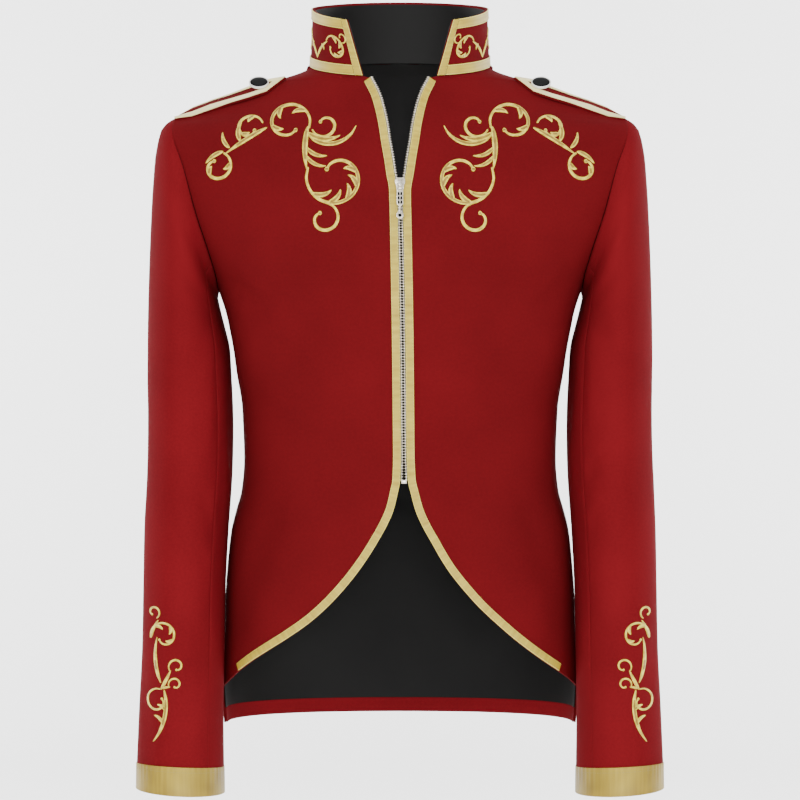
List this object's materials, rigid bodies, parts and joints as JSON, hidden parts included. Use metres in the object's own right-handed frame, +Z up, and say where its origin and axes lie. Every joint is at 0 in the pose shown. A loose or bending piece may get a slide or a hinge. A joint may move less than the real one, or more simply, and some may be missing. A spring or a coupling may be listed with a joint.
{
  "type": "stand-collar coat",
  "caption": "Hip-length coat in red cloth with a stand collar, a front zip, cut-away lower fronts, ribbon trims, shoulder straps and long sleeves, standing hollow as if worn.",
  "frame": {"origin": "the middle of the neck, level with the side neck points, where the wearer holds the coat up", "axes": "+Z up along the wearer; the front faces -Y; +X towards the wearer's left side"},
  "size_m": [0.4864, 0.2343, 0.7441],
  "materials": {
    "red_cloth": "matte",
    "black_lining": "soft sheen",
    "gold_ribbon": "satin",
    "cuff_ribbon": "satin",
    "cream_ribbon": "satin",
    "black_button": "gloss",
    "zip_metal": "polished"
  },
  "bodies": {
    "coat": {"back": "red_cloth", "back_lining": "black_lining", "back_hem_facing": "red_cloth", "front_right": "red_cloth", "front_left": "red_cloth", "sleeve_top_right": "red_cloth", "sleeve_top_left": "red_cloth", "sleeve_under_right": "red_cloth", "sleeve_under_left": "red_cloth", "cuff_right": "cuff_ribbon", "cuff_left": "cuff_ribbon", "collar": "red_cloth", "collar_lining": "black_lining", "collar_trim_base": "gold_ribbon", "collar_trim_rim": "gold_ribbon", "collar_trim_end_left": "gold_ribbon", "collar_trim_end_right": "gold_ribbon", "front_trim_left": "gold_ribbon", "front_trim_right": "gold_ribbon", "strap_left": "red_cloth", "strap_right": "red_cloth", "strap_trim_left": "cream_ribbon", "strap_trim_right": "cream_ribbon", "button_left": "black_button", "button_right": "black_button", "zip_teeth_left": "zip_metal", "zip_teeth_right": "zip_metal", "zip_stop": "zip_metal", "zip_slider": "zip_metal"},
    "pull_tab": {"zip_pull": "zip_metal"}
  },
  "joints": [
    {"name": "pull_tab_swing", "type": "hinge", "parent": "coat", "child": "pull_tab", "pos_m": [0, -0.1181, -0.11921], "axis": [-1, 0, 0], "range_deg": [0, 170]}
  ]
}
